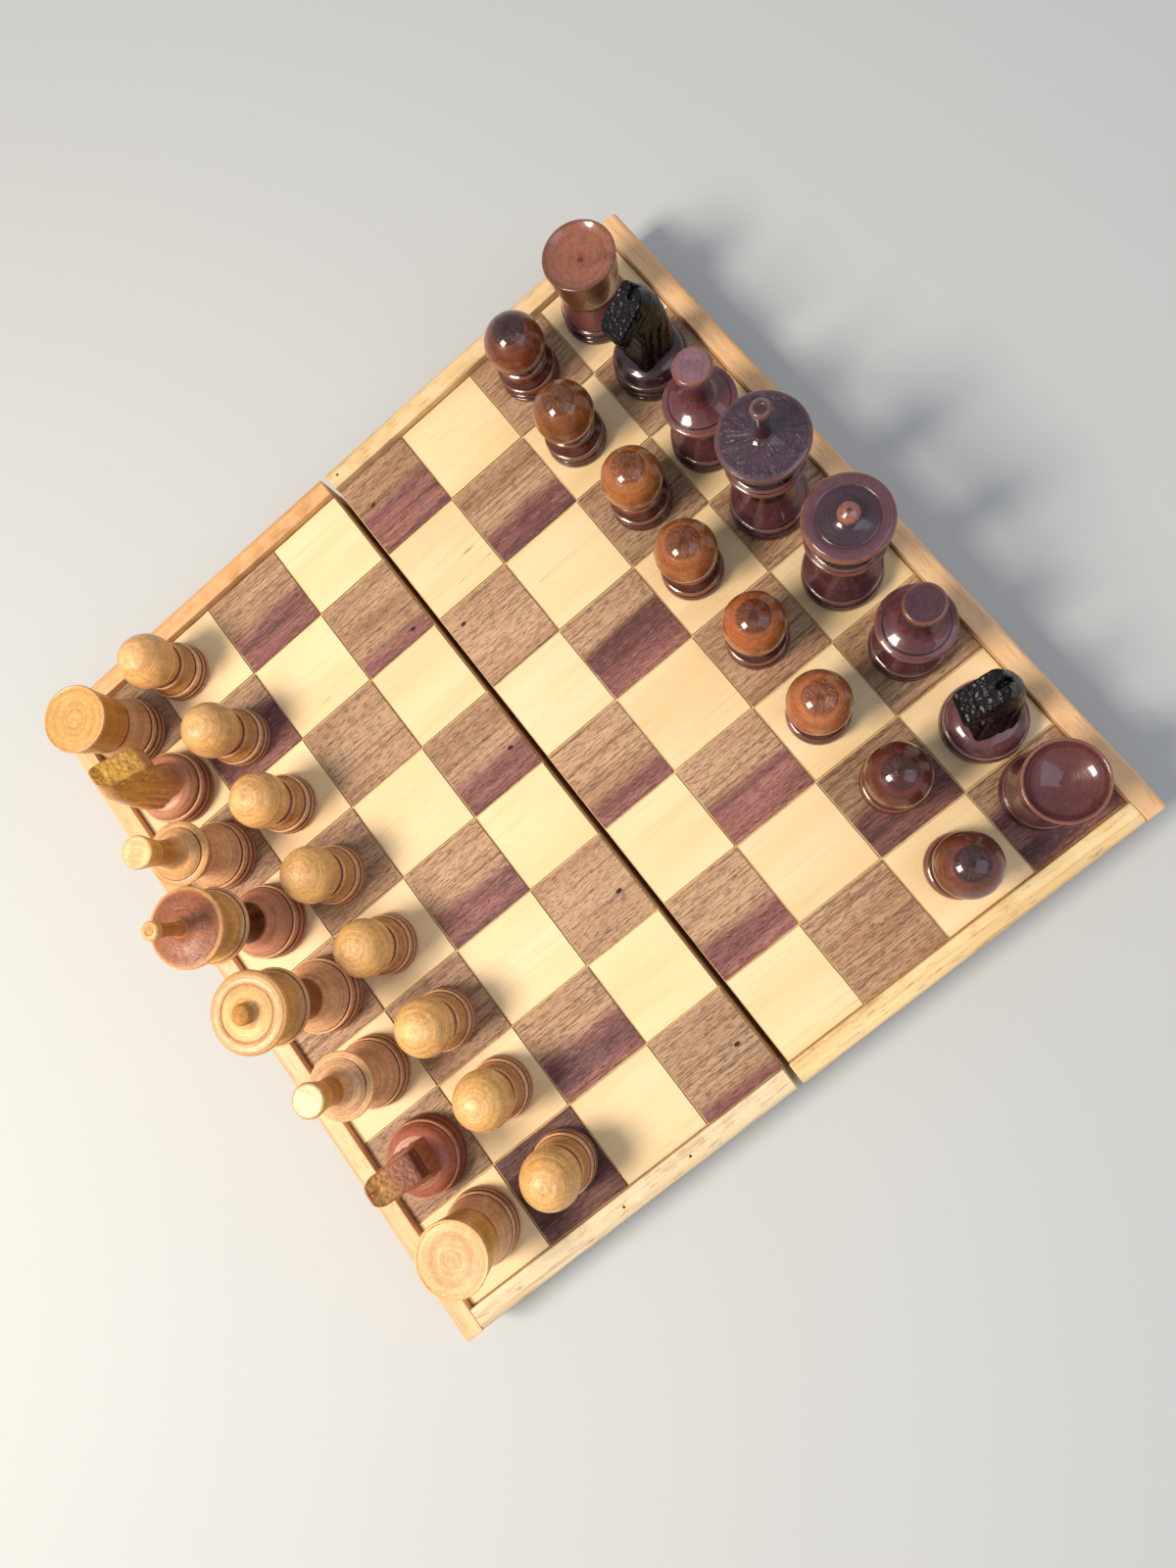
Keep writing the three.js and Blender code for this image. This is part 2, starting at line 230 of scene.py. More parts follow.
def rail_finish(name, along, pale, mid, dark, line_share):
    """Planed rail: long grain lines, dark pores, and paler patches on the rounded edges that are a
    painted highlight.
    """
    f = Finish(name, Specular_IOR_Level=0.35)
    stretch = (lambda across, long: (long, across, across)) if along == "x" else (
        lambda across, long: (across, long, across))
    broad = f.noise(f.place(stretch(80, 7)), detail=3, warp=0.6)
    lines = f.noise(f.place(stretch(760, 14)), detail=3)
    base = f.ramp(broad, (0.25, dark), (0.5, mid), (0.72, pale))
    base = f.mix(f.span(lines, 0.5, 0.7, 0, line_share), base, "#8b5a2c")
    pores = f.noise(f.place(stretch(1500, 120)), detail=2)
    pore = f.span(pores, 0.6, 0.7)
    base = f.mix(f.times(pore, line_share), base, "#754a28")
    # Paler in patches where the edges are convex: a painted highlight on the rounded edges.
    edge_highlight = f.node("NewGeometry", {}).outputs["Pointiness"]
    patchy_edge_highlight = f.times(f.span(edge_highlight, 0.51, 0.56), f.noise(f.place((120, 120, 120)), detail=3))
    base = f.mix(f.span(patchy_edge_highlight, 0.35, 0.6, 0, 0.5), base, pale)
    depth = f.math("SUBTRACT", f.times(lines, 0.5), pore)
    return f.done(base, f.span(broad, 0.3, 0.7, 0.4, 0.55), f.relief(depth, 0.00008))


def mottled_finish(name, scale, detail, rough, depth, *stops):
    """Dull matter without a grain, such as glue or filler."""
    f = Finish(name, Specular_IOR_Level=0.2)
    mottle = f.noise(f.place((scale, scale, scale)), detail=detail)
    return f.done(f.ramp(mottle, *stops), f.span(mottle, 0.3, 0.7, *rough), f.relief(mottle, depth))


def ply_finish():
    """Unvarnished plywood underside of the playing panels."""
    f = Finish("tray_ply", Specular_IOR_Level=0.25)
    broad = f.noise(f.place((14, 90, 60)), detail=4, warp=0.8)
    fibres = f.noise(f.place((60, 1300, 900)), detail=2)
    base = f.ramp(broad, (0.25, "#b98f5c"), (0.5, "#cfa974"), (0.75, "#dcbb8a"))
    base = f.mix(f.span(fibres, 0.55, 0.75, 0, 0.5), base, "#8a6038")
    return f.done(base, f.span(broad, 0.3, 0.7, 0.6, 0.75), f.relief(fibres, 0.00008))


def brass_finish():
    """Dull pressed brass with brushed scratches and brown tarnish."""
    f = Finish("aged_brass", Metallic=1.0)
    tarnish = f.noise(f.place((260, 260, 260)), detail=5, rough=0.65)
    scratch = f.noise(f.place((3200, 180, 900)), detail=2)
    base = f.ramp(tarnish, (0.3, "#7d5a2a"), (0.5, "#b98f4a"), (0.7, "#d5af68"))
    rough = f.math("ADD", f.span(tarnish, 0.35, 0.65, 0.5, 0.26), f.span(scratch, 0.5, 0.8, 0, 0.15))
    return f.done(base, rough, f.relief(scratch, 0.00003))


def turned_finish(name, stain, stained, wrinkle, coat, coat_rough):
    """Varnished turned wood over the tone stored on the piece: fibres, tool rings and stain.

    stained is how strongly the stain shows. wrinkle is the depth in metres of the creases that
    run up the shape where varnish pooled.
    """
    f = Finish(name, Coat_Weight=coat, Coat_Roughness=coat_rough, Specular_IOR_Level=0.25)
    tone = f.node("Attribute", {}, attribute_name="tone").outputs["Color"]
    rings = f.noise(f.place((1, 1, 1), "ring_at"), scale=1300, detail=3, rough=0.75)
    bands = f.noise(f.place((1, 1, 1), "ring_at"), scale=380, detail=2)
    fibres = f.grain((800, 800, 55), detail=4, rough=0.65, warp=0.4)
    blotch = f.grain((95, 95, 60), detail=4, rough=0.6, warp=0.6)
    base = f.shaded(tone, f.span(fibres, 0.34, 0.66, 0.86, 1.1))
    base = f.shaded(base, f.span(rings, 0.34, 0.62, 0.82, 1.1))
    base = f.shaded(base, f.span(bands, 0.36, 0.6, 0.86, 1.06))
    base = f.mix(f.span(blotch, 0.5, 0.72, 0, stained), base, stain)
    pits = f.span(f.dots(f.place((1, 1, 0.5), "grain_at"), 520), 0.08, 0.16, 1.5 * stained, 0)
    pits = f.times(pits, f.span(blotch, 0.5, 0.58))
    base = f.mix(pits, base, stain)
    spokes = f.noise(f.place((1, 1, 1), "spoke_at"), scale=1.5, detail=2, rough=0.5, warp=0.5)
    pooled = f.times(f.span(blotch, 0.4, 0.5), f.split("creased")["X"])
    base = f.mix(f.times(f.span(spokes, 0.5, 0.4, 0, stained), pooled), base, stain)
    rough = f.math("ADD", f.span(blotch, 0.35, 0.7, 0.22, 0.4), f.times(pits, 0.2))
    normal = f.relief(rings, 0.00016)
    normal = f.relief(f.times(spokes, pooled), wrinkle, normal)
    return f.done(base, rough, normal)


def carved_finish(name, ridge_highlight, pit_shade, coat):
    """Varnished carving: smooth flanks, and a face left rough by the gouge, with a painted highlight on
    the chip ridges and painted shade in the chip hollows.
    """
    f = Finish(name, Coat_Weight=coat, Coat_Roughness=0.1, Specular_IOR_Level=0.12)
    tone = f.node("Attribute", {}, attribute_name="tone").outputs["Color"]
    gouged = f.split("gouged")["X"]
    fibres = f.grain((420, 420, 60), detail=3, warp=0.4)
    base = f.shaded(tone, f.span(fibres, 0.3, 0.7, 0.78, 1.15))
    chips = f.grain((2000, 2000, 2000), detail=3, rough=0.65, warp=0.9)
    # The chip ridges take a painted highlight colour and the chip hollows a painted shade colour,
    # following the same chips that make the bump.
    base = f.mix(f.times(f.span(chips, 0.52, 0.68, 0, 0.35), gouged), base, ridge_highlight)
    base = f.mix(f.times(f.span(chips, 0.34, 0.45, 0.7, 0), gouged), base, pit_shade)
    dents = f.grain((500, 500, 500), detail=2)
    normal = f.relief(dents, 0.0002)
    normal = f.relief(f.times(chips, gouged), 0.0002, normal)
    rough = f.math("ADD", f.span(dents, 0.35, 0.65, 0.2, 0.36), f.times(gouged, 0.15))
    return f.done(base, rough, normal)


MAPLE = maple_square_finish()
WALNUT = walnut_square_finish()
GLUE = mottled_finish(
    "glue_bed", 400, 4, (0.75, 0.95), 0.0001, (0.3, "#170e09"), (0.6, "#2e1d12"), (0.8, "#543822"))
PLY = ply_finish()
BRASS = brass_finish()
FILLER = mottled_finish("nail_filler", 1500, 3, (0.7, 0.9), 0.00008, (0.35, "#1d120d"), (0.65, "#4a3226"))
END_RAIL = rail_finish("end_rail_maple", "x", "#e6bf92", "#dbae7e", "#cb9a6c", 0.2)
SEAM_RAIL = rail_finish("seam_rail_maple", "x", "#e2bd8a", "#d3a870", "#bd8d58", 0.35)
RAILS = {  # how far the edges of each rail are rounded, in millimetres, and its finish
    "near_end_rail": (0.5, END_RAIL),
    "near_seam_rail": (0.3, SEAM_RAIL),
    "near_side_rail_a": (0.5, rail_finish("near_rail_a_oak", "y", "#e0b482", "#d09c66", "#b98350", 0.4)),
    "near_side_rail_h": (0.5, rail_finish("near_rail_h_ash", "y", "#e0cfae", "#d2bd98", "#bda17a", 0.45)),
    "far_end_rail": (0.5, END_RAIL),
    "far_seam_rail": (0.3, SEAM_RAIL),
    "far_side_rail_a": (0.5, rail_finish("far_rail_a_oak", "y", "#e8cda0", "#d8b886", "#c09a68", 0.45)),
    "far_side_rail_h": (0.5, rail_finish("far_rail_h_oak", "y", "#ead2a2", "#dcbd88", "#c8a268", 0.45)),
}
LIGHT_TURNED = turned_finish(
    "light_varnished", stain="#a9683c", stained=0.25, wrinkle=0.0002, coat=0.12, coat_rough=0.25)
DARK_TURNED = turned_finish(
    "dark_varnished", stain="#1c0c0d", stained=0.38, wrinkle=0.001, coat=0.85, coat_rough=0.09)
# Each carved finish has a painted highlight colour for the chip ridges, a bluish painted sheen on the
# black knights, and a painted shade colour for the hollows.
LIGHT_CARVED = carved_finish("light_carved", ridge_highlight="#e9bd6c", pit_shade="#6b3d14", coat=0.5)
BLACK_CARVED = carved_finish("black_carved", ridge_highlight="#262c3c", pit_shade="#020203", coat=0.14)


# ---- Meshes ----


def linked(name, data):
    """A new object in the scene."""
    item = bpy.data.objects.new(name, data)
    bpy.context.scene.collection.objects.link(item)
    return item


def applied(item, name):
    """The mesh of an item with its modifiers applied."""
    graph = bpy.context.evaluated_depsgraph_get()
    mesh = bpy.data.meshes.new_from_object(item.evaluated_get(graph))
    mesh.name = name
    return mesh


def show(mesh, node, slot, material, place=(0, 0, 0), sharp=None, replaces=True):
    """Adds a visible piece that rides with a node's body, and replaces the node unless it is extra.

    Edges that bend by more than sharp degrees stay crisp.
    """
    piece = linked(mesh.name, mesh)
    piece.location = place
    mesh.materials.clear()
    for finish in material if isinstance(material, tuple) else (material,):
        mesh.materials.append(finish)
    mesh.shade_smooth()
    normals = piece.modifiers.new("flat faces stay flat", "WEIGHTED_NORMAL")
    normals.keep_sharp = True
    if sharp:
        mesh.set_sharp_from_angle(angle=radians(sharp))
    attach(piece, frame["nodes"][node]["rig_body"])
    if replaces:
        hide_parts(node)


def mesh_from(name, build):
    """A mesh made by a function that fills a bmesh."""
    bm = bmesh.new()
    build(bm)
    bmesh.ops.recalc_face_normals(bm, faces=bm.faces)
    mesh = bpy.data.meshes.new(name)
    bm.to_mesh(mesh)
    bm.free()
    return mesh


def store(mesh, name, values):
    """One vector or colour for each vertex, which a finish reads by this name."""
    kind, field = ("FLOAT_COLOR", "color") if len(values[0]) == 4 else ("FLOAT_VECTOR", "vector")
    attribute = mesh.attributes.new(name, kind, "POINT")
    attribute.data.foreach_set(field, [number for value in values for number in value])


def softened(node, name, round_over, slot, material, segments=3):
    """Shows the CAD shape with every hard edge rounded over."""
    def build(bm):
        bm.from_mesh(frame["nodes"][node].data)
        bmesh.ops.remove_doubles(bm, verts=bm.verts, dist=0.002 * MM)
        bmesh.ops.dissolve_limit(bm, angle_limit=radians(1), verts=bm.verts, edges=bm.edges)
        hard = [e for e in bm.edges if e.is_manifold and e.calc_face_angle() > radians(30)]
        bmesh.ops.bevel(
            bm, geom=hard, offset=round_over, segments=segments, profile=0.5,
            affect="EDGES", clamp_overlap=True)
    show(mesh_from(name, build), node, slot, material, sharp=40)


# ---- Playing panels ----
RANK_LENGTHS_MM = (34.5, 37.5, 37.5, 38.5)  # from the seam outwards
INLAY_MM = 0.9  # how deep the inlays reach into the glue bed
GLUE_BED_MM = 0.6  # how far the glue bed lies below the squares
UNEVEN_MM = 0.05  # how far one inlay may lie below the next
JOINT_MM = 0.36  # half the width of a joint
WANDER_MM = 0.12  # how far an edge strays from straight
RAGGEDNESS = 420  # how often it strays, for each metre
EASE_MM = (0.08, 0.1)  # inward and down, on the top edge of an inlay
RIM_MM = 0.7  # the crumbly edge of an inlay
GLUED, CRUMBLY, CLEAN = 2.0, 1.0, 0.0  # what the square finishes read on sides, rim and top
CORE_ROUND_MM = 0.15
EDGE_STEPS = 9

# Where the heartwood of a dark square starts, as a share of its width from the a side. The dark
# squares that aren't listed are all sapwood.
HEARTWOOD = {
    "a5": 0.45, "e5": 0.72, "g5": 0.6, "b6": 0.62, "d6": 0.4, "f6": 0.45, "e7": 1.1, "g7": 0.5,
    "f8": 1.1, "h8": 0.3, "b4": 0.75, "d4": 0.55, "h4": 0.85, "a3": 0.5, "e3": 0.55, "g3": 0.5,
    "b2": 0.3, "h2": -0.1,
}
NO_HEARTWOOD = 2.0
# Squares whose tone stands out from the rest.
TONES = {"h2": 0.5, "c7": 0.8, "g7": 0.72, "b2": 0.8, "h4": 0.85, "a1": 0.8, "g1": 0.85, "h8": 0.75}
OTHER_TONES = (0.9, 1.02)
# Filled brads through the dark squares along the seam: how far across the square each one is.
BRADS = {"a5": 0.41, "c5": 0.22, "b4": 0.87, "d4": 0.65, "f4": 0.6, "h4": 0.55}
BRAD_FROM_SEAM_MM = 7.5
BRAD_MM = (0.8, 1.3)  # half widths across and along the ranks


def is_dark(file, rank):
    return (file + rank) % 2 == 1


def squares_of(half):
    """Yields the name, file, rank and four sides of each square in a half, in metres."""
    low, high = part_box(f"{half}_playing_panel")
    pitch = (high.x - low.x) / len(FILES)
    stretch = (high.y - low.y) / sum(RANK_LENGTHS_MM)
    inner = 0.0
    for step, length in enumerate(RANK_LENGTHS_MM):
        outer = inner + length * stretch
        rank, y0, y1 = (5 + step, low.y + inner, low.y + outer)
        if half == "near":
            rank, y0, y1 = (4 - step, high.y - outer, high.y - inner)
        for file, letter in enumerate(FILES):
            x0 = low.x + file * pitch
            yield f"{letter}{rank}", file, rank, (x0, x0 + pitch, y0, y1)
        inner = outer


def inlay_loop(sides, inset, wander, seed):
    """Points round an inlay, set in from its square and wandering a little from straight."""
    x0, x1, y0, y1 = sides
    corners = [Vector((x0, y0)), Vector((x1, y0)), Vector((x1, y1)), Vector((x0, y1))]
    middle = (corners[0] + corners[2]) / 2
    loop = []
    for start, end in zip(corners, corners[1:] + corners[:1]):
        for step in range(EDGE_STEPS):
            point = start.lerp(end, step / EDGE_STEPS)
            reach = inset + noise.noise(Vector((*point, seed)) * RAGGEDNESS) * wander
            inward = [copysign(min(abs(gap), reach), gap) for gap in middle - point]
            if step:  # between two corners only the way off the edge counts
                inward[int(start.x == end.x)] = 0
            loop.append(point + Vector(inward))
    return loop


def add_inlays(half, dark):
    """All the squares of one wood in one half, each a thin block with its own grain."""
    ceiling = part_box(f"{half}_playing_panel")[1].z
    rng = random.Random(f"{half} {dark}")
    points, faces, grain, patches = [], [], [], []
    for name, file, rank, sides in squares_of(half):
        if is_dark(file, rank) != dark:
            continue
        top = ceiling - rng.uniform(0, UNEVEN_MM) * MM
        away = Vector((rng.uniform(-1, 1), rng.uniform(-1, 1), rng.uniform(-1, 1)))
        tone = TONES.get(name, rng.uniform(*OTHER_TONES))
        x0, x1 = sides[:2]
        heart = HEARTWOOD.get(name, NO_HEARTWOOD)
        layers = (
            (JOINT_MM * MM, ceiling - INLAY_MM * MM, WANDER_MM * MM, GLUED),
            (JOINT_MM * MM, top - EASE_MM[1] * MM, WANDER_MM * MM, GLUED),
            ((JOINT_MM + EASE_MM[0]) * MM, top, WANDER_MM * MM, CRUMBLY),
            ((JOINT_MM + RIM_MM) * MM, top, 0.0, CLEAN),
        )
        first = len(points)
        count = 4 * EDGE_STEPS
        for inset, z, wander, rim in layers:
            for x, y in inlay_loop(sides, inset, wander, away.x):
                points.append((x, y, z))
                grain.append(Vector((x, y, z)) + away)
                patches.append(((x - x0) / (x1 - x0) - heart, tone, rim))
        for layer in range(len(layers) - 1):
            for step in range(count):
                a, b = first + layer * count + step, first + layer * count + (step + 1) % count
                faces.append((a, b, b + count, a + count))
        faces.append([first + (len(layers) - 1) * count + step for step in range(count)])
    wood, finish = ("walnut", WALNUT) if dark else ("maple", MAPLE)
    mesh = bpy.data.meshes.new(f"{half}_{wood}_squares")
    mesh.from_pydata(points, [], faces)
    store(mesh, "grain_at", grain)
    store(mesh, "patch", patches)
    show(mesh, f"{half}_playing_panel", "inlaid_squares", finish, sharp=30)


def add_panel_core(half):
    """Plywood panel under the inlays, with the glue bed as its top face."""
    low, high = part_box(f"{half}_playing_panel")
    high = high - Vector((0, 0, GLUE_BED_MM * MM))

    def build(bm):
        place = Matrix.LocRotScale((low + high) / 2, None, high - low)
        bmesh.ops.create_cube(bm, size=1, matrix=place)
        bmesh.ops.bevel(
            bm, geom=bm.edges[:], offset=CORE_ROUND_MM * MM, segments=2, profile=0.5, affect="EDGES")
        for face in bm.faces:
            face.material_index = int(face.normal.z > 0.5)
    mesh = mesh_from(f"{half}_panel_core", build)
    show(mesh, f"{half}_playing_panel", "inlaid_squares", (PLY, GLUE))


def add_plug(bm, centre, across, along, rng):
    """A slightly domed, uneven disc that shows where a nail or a brad went in."""
    rings = ((1.0, -0.3 * MM), (1.0, 0.01 * MM), (0.75, 0.03 * MM), (0.35, 0.0))
    sides = 14
    ragged = [rng.uniform(0.85, 1.1) for _ in range(sides)]
    made = []
    for share, rise in rings:
        made.append([bm.verts.new(centre + Vector((
            across * share * ragged[i] * cos(tau * i / sides),
            along * share * ragged[i] * sin(tau * i / sides), rise))) for i in range(sides)])
    for lower, upper in zip(made, made[1:]):
        for i in range(sides):
            bm.faces.new((lower[i], lower[i - 1], upper[i - 1], upper[i]))
    bm.faces.new(made[-1])
    bm.faces.new(made[0])


def add_marks(name, node, slot, spots, half_size, rng):
    """Nails or brads at these spots, which may be a generator that shares the random draws."""
    def build(bm):
        for spot in spots:
            add_plug(bm, spot, half_size[0] * MM, half_size[1] * MM, rng)
    show(mesh_from(name, build), node, slot, FILLER, replaces=False)


def add_brads(half):
    node = f"{half}_playing_panel"
    low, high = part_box(node)
    seam, inward = (low.y, BRAD_FROM_SEAM_MM) if half == "far" else (high.y, -BRAD_FROM_SEAM_MM)
    rng = random.Random(half)
    spots = (
        Vector((x0 + (x1 - x0) * BRADS[name], seam + inward * MM + rng.uniform(-1, 1) * MM, high.z))
        for name, _, _, (x0, x1, _, _) in squares_of(half) if name in BRADS)
    add_marks(f"{half}_brad_marks", node, "inlaid_squares", spots, BRAD_MM, rng)


# ---- Rails ----
# Nails through the rail tops: how far along from the seam each one is, as a share.
RAIL_NAILS = {"near_side_rail_h": (0.31, 0.52), "far_side_rail_a": (0.03,)}
NAIL_MM = (0.55, 0.55)


def add_rails(half):
    for node, (round_over, finish) in RAILS.items():
        if node.startswith(half):
            softened(node, f"{node}_board", round_over * MM, "maple_rail", finish)


def add_rail_nails(node, shares):
    low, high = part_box(node)
    panel_low, panel_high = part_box(node.replace("side_rail_" + node[-1], "playing_panel"))
    seam, end = (high.y, low.y) if node.startswith("near") else (low.y, high.y)
    outer, inner = (low.x, panel_low.x) if node.endswith("a") else (high.x, panel_high.x)
    spots = (Vector(((outer + inner) / 2, seam + (end - seam) * share, high.z)) for share in shares)
    add_marks(f"{node}_nails", node, "maple_rail", spots, NAIL_MM, random.Random(node))


# ---- Turned shapes ----
# An outline is a list of (radius, height, tone) in millimetres, from the foot up the outside.


def line(tone, *points):
    return [(radius, height, tone) for radius, height in points]


def flow(tone, *points, steps=5):
    """A smooth stretch through the points, by Catmull-Rom."""
    spots = [points[0], *points, points[-1]]
    made = []
    for a, b, c, d in zip(spots, spots[1:], spots[2:], spots[3:]):
        for step in range(steps):
            t = step / steps
            made.append(tuple(0.5 * (
                2 * b[i] + (c[i] - a[i]) * t + (2 * a[i] - 5 * b[i] + 4 * c[i] - d[i]) * t * t
                + (3 * b[i] - a[i] - 3 * c[i] + d[i]) * t ** 3) for i in (0, 1)) + (tone,))
    return made + [(*points[-1], tone)]


def dome(tone, height_at, half_width, half_height, start, end=90, steps=16):
    """An elliptical stretch centred on the axis, its angles in degrees from the horizontal."""
    angles = [radians(start + (end - start) * step / steps) for step in range(steps + 1)]
    return [
        (max(half_width * cos(a), 0), height_at + half_height * sin(a), tone) for a in angles]


def bead(tone, radius, height, thickness):
    """A small half-round ring that stands out from the radius."""
    half = thickness / 2
    return [(radius + half * cos(a) * 0.8, height + half * sin(a), tone)
            for a in (-1.57, -0.9, -0.3, 0.3, 0.9, 1.57)]


def groove(radius, height, width=0.5, depth=0.5, tone="groove"):
    """A narrow cut into the outline, in a tone that is painted darker as shade in the cut."""
    half = width / 2
    return line(tone, (radius, height - half), (radius - depth, height), (radius, height + half))


def eased(outline, reach=0.22):
    """The outline with each real corner cut back into a small round."""
    made = [outline[0]]
    for before, corner, after in zip(outline, outline[1:], outline[2:]):
        here = Vector(corner[:2])
        back, ahead = Vector(before[:2]) - here, Vector(after[:2]) - here
        if min(back.length, ahead.length) < 0.05 or back.angle(-ahead) < radians(25):
            made.append(corner)
            continue
        start = here + back.normalized() * min(reach, back.length * 0.4)
        end = here + ahead.normalized() * min(reach, ahead.length * 0.4)
        middle = here * 0.5 + (start + end) * 0.25
        made += [(*start, corner[2]), (*middle, corner[2]), (*end, corner[2])]
    return made + [outline[-1]]


CREASED = "crown"  # the tone of the stretches where varnish pooled
SPOKES = 5  # sets how many creases go round a man
SPOKE_LENGTH_MM = 9
OUT_OF_ROUND = 0.006  # share of the radius
WOBBLE = 0.0005  # how far the tool rings stray from level, in metres


def spun(name, outline, sides, palette=None, seed=0.0, shade=1.0):
    """A turned mesh in metres about its own Z axis, with the vectors that its finish reads."""
    points, faces, tones, rings, spokes, creased, loops = [], [], [], [], [], [], []
    for radius, height, tone in outline:
        loop = []
        for side in range(sides if radius > 1e-6 else 1):
            angle = tau * side / sides
            x, y = cos(angle), sin(angle)
            reach = radius * (1 + OUT_OF_ROUND * noise.noise(Vector((x, y, height / 9 + seed))))
            loop.append(len(points))
            points.append((reach * x * MM, reach * y * MM, height * MM))
            rings.append((radius * MM, height * MM, seed + WOBBLE * sin(2 * angle)))
            spokes.append((SPOKES * x + seed, SPOKES * y, (radius - height) / SPOKE_LENGTH_MM))
            creased.append((float(tone == CREASED), 0, 0))
            if palette:
                tones.append((*(share * shade for share in colour(palette[tone])[:3]), 1.0))
        loops.append(loop)
    for lower, upper in zip(loops, loops[1:]):
        for side in range(sides):
            a, b = lower[side % len(lower)], lower[(side + 1) % len(lower)]
            c, d = upper[(side + 1) % len(upper)], upper[side % len(upper)]
            corners = list(dict.fromkeys((a, b, c, d)))
            if len(corners) > 2:
                faces.append(corners)
    mesh = bpy.data.meshes.new(name)
    mesh.from_pydata(points, [], faces)
    if palette:
        away = Vector((seed, seed * 0.7, seed * 0.3))
        store(mesh, "tone", tones)
        store(mesh, "ring_at", rings)
        store(mesh, "spoke_at", spokes)
        store(mesh, "creased", creased)
        store(mesh, "grain_at", [Vector(point) + away for point in points])
    return mesh


# ---- Hinges and latch ----
HINGE_SCREW = line("brass", (0, 0), (1.75, 0), (1.9, 0.12), (0.9, 0.9), (0.9, 7), (0, 8))
LATCH_SCREW = dome("brass", 1.2, 2.6, 1.2, -90, 0, steps=8) + line(
    "brass", (1, 1.2), (1, 8.8), (0, 10))
SLOT_MM = (0.5, 6.0, 0.45)  # width, length, depth
LEAF_ROUND_MM = 0.1
HOOK_ROUND_MM = 0.15


def pin_outline(length):
    """A plain rod with a small peened head at each end."""
    head, rod = 1.1, 0.6
    tip = length / 2 / MM
    edge, neck = tip - 0.2, tip - 0.5
    return line(
        "brass", (0, -tip), (head, -edge), (head, -neck), (rod, -neck),
        (rod, neck), (head, neck), (head, edge), (0, tip))


def slotted(name, outline, turn):
    """A screw along +Z with its head at z = 0 and a slot cut across the head."""
    mesh = spun(name, eased(outline, 0.12), 28)
    width, length, depth = (size * MM for size in SLOT_MM)
    slot_mesh = mesh_from("slot", lambda bm: bmesh.ops.create_cube(bm, size=1))
    slot_mesh.transform(Matrix.Rotation(turn, 4, "Z") @ Matrix.Diagonal((width, length, 2 * depth, 1)))
    screw, cutter = linked(name, mesh), linked("slot", slot_mesh)
    cut = screw.modifiers.new("slot", "BOOLEAN")
    cut.operation = "DIFFERENCE"
    cut.object = cutter
    made = applied(screw, name)
    for item in (screw, cutter):
        bpy.data.objects.remove(item)
    return made


def add_screw(node, outline, facing, turn):
    """facing turns the screw's +Z from its head towards its tip."""
    low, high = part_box(node)
    mesh = slotted(f"{node}_slotted", outline, turn)
    mesh.transform(facing.to_4x4())
    inward = facing @ Vector((0, 0, 1))
    middle = (low + high) / 2
    half = (high - low) / 2
    head = middle - Vector(a * b for a, b in zip(inward, half))
    show(mesh, node, "brass", BRASS, head, sharp=35)


def add_hinge(label):
    """A butt hinge: two leaves, their screws with each slot left at its own angle, and the pin."""
    for half in HALVES:
        leaf = f"hinge_{label}_{half}_leaf"
        softened(leaf, f"{leaf}_pressed", LEAF_ROUND_MM * MM, "brass", BRASS, segments=2)
        for number in (1, 2):
            node = f"hinge_{label}_{half}_screw_{number}"
            add_screw(node, HINGE_SCREW, Matrix.Identity(3), turn=0.7 * number + len(half))
    node = f"hinge_{label}_pin"
    low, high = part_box(node)
    mesh = spun(f"{node}_rod", eased(pin_outline(high.x - low.x), 0.1), 24)
    mesh.transform(Matrix.Rotation(pi / 2, 4, "Y"))
    show(mesh, node, "brass", BRASS, (low + high) / 2, sharp=35)


def add_latch():
    softened("latch_hook", "latch_hook_plate", HOOK_ROUND_MM * MM, "brass", BRASS)
    for node, angle in (("latch_pivot_screw", -pi / 2), ("latch_catch_screw", pi / 2)):
        facing = Matrix.Rotation(angle, 3, "X")
        add_screw(node, LATCH_SCREW, facing, turn=0.4)


# ---- Chessmen ----


def foot(radius, height):
    """The stepped foot that every man stands on, with its cut rings."""
    return [
        *line("base", (0, 0), (radius - 0.7, 0), (radius, 0.6), (radius, height * 0.42)),
        *groove(radius, height * 0.5, 0.6, 0.6),
        *line("base", (radius - 0.1, height * 0.62), (radius - 0.3, height * 0.8)),
        *groove(radius - 0.5, height * 0.88, 0.5, 0.5),
        *line("base", (radius * 0.94, height)),
    ]


# Widest radii of the tops and depth of the rooks' bowls, in millimetres.
TOPS = {
    "light": {
        "dome": 11, "rook": 13.4, "bowl": 0.5, "brim": 12.6, "peg": 6.2, "king": 14.5, "queen": 14.6},
    "dark": {
        "dome": 11.5, "rook": 13.8, "bowl": 6, "brim": 13.6, "peg": 7, "king": 15.7, "queen": 15},
}
OWN_TOPS = {"dark_rook_a": {"bowl": 3}}


def pawn(top):
    ball = top["dome"]
    return [
        *foot(12, 5),
        *bead("rim", 11.1, 7.2, 1.6),
        *groove(10.9, 8.3, 0.4, 0.7),
        *flow("cove", (10.7, 8.8), (9.3, 10.6), (8.8, 12.4), (9.1, 13.8)),
        *bead("collar", 9.3, 14.8, 1.5),
        *groove(9.1, 15.9, 0.4, 0.5),
        *dome("top", 24.5, ball, 11.5, -41, -2, steps=8),
        *dome("top", 24.5, ball, 11.5, 2, 56, steps=9),
        *dome("crown", 24.5, ball, 11.5, 62, 90, steps=6),
    ]


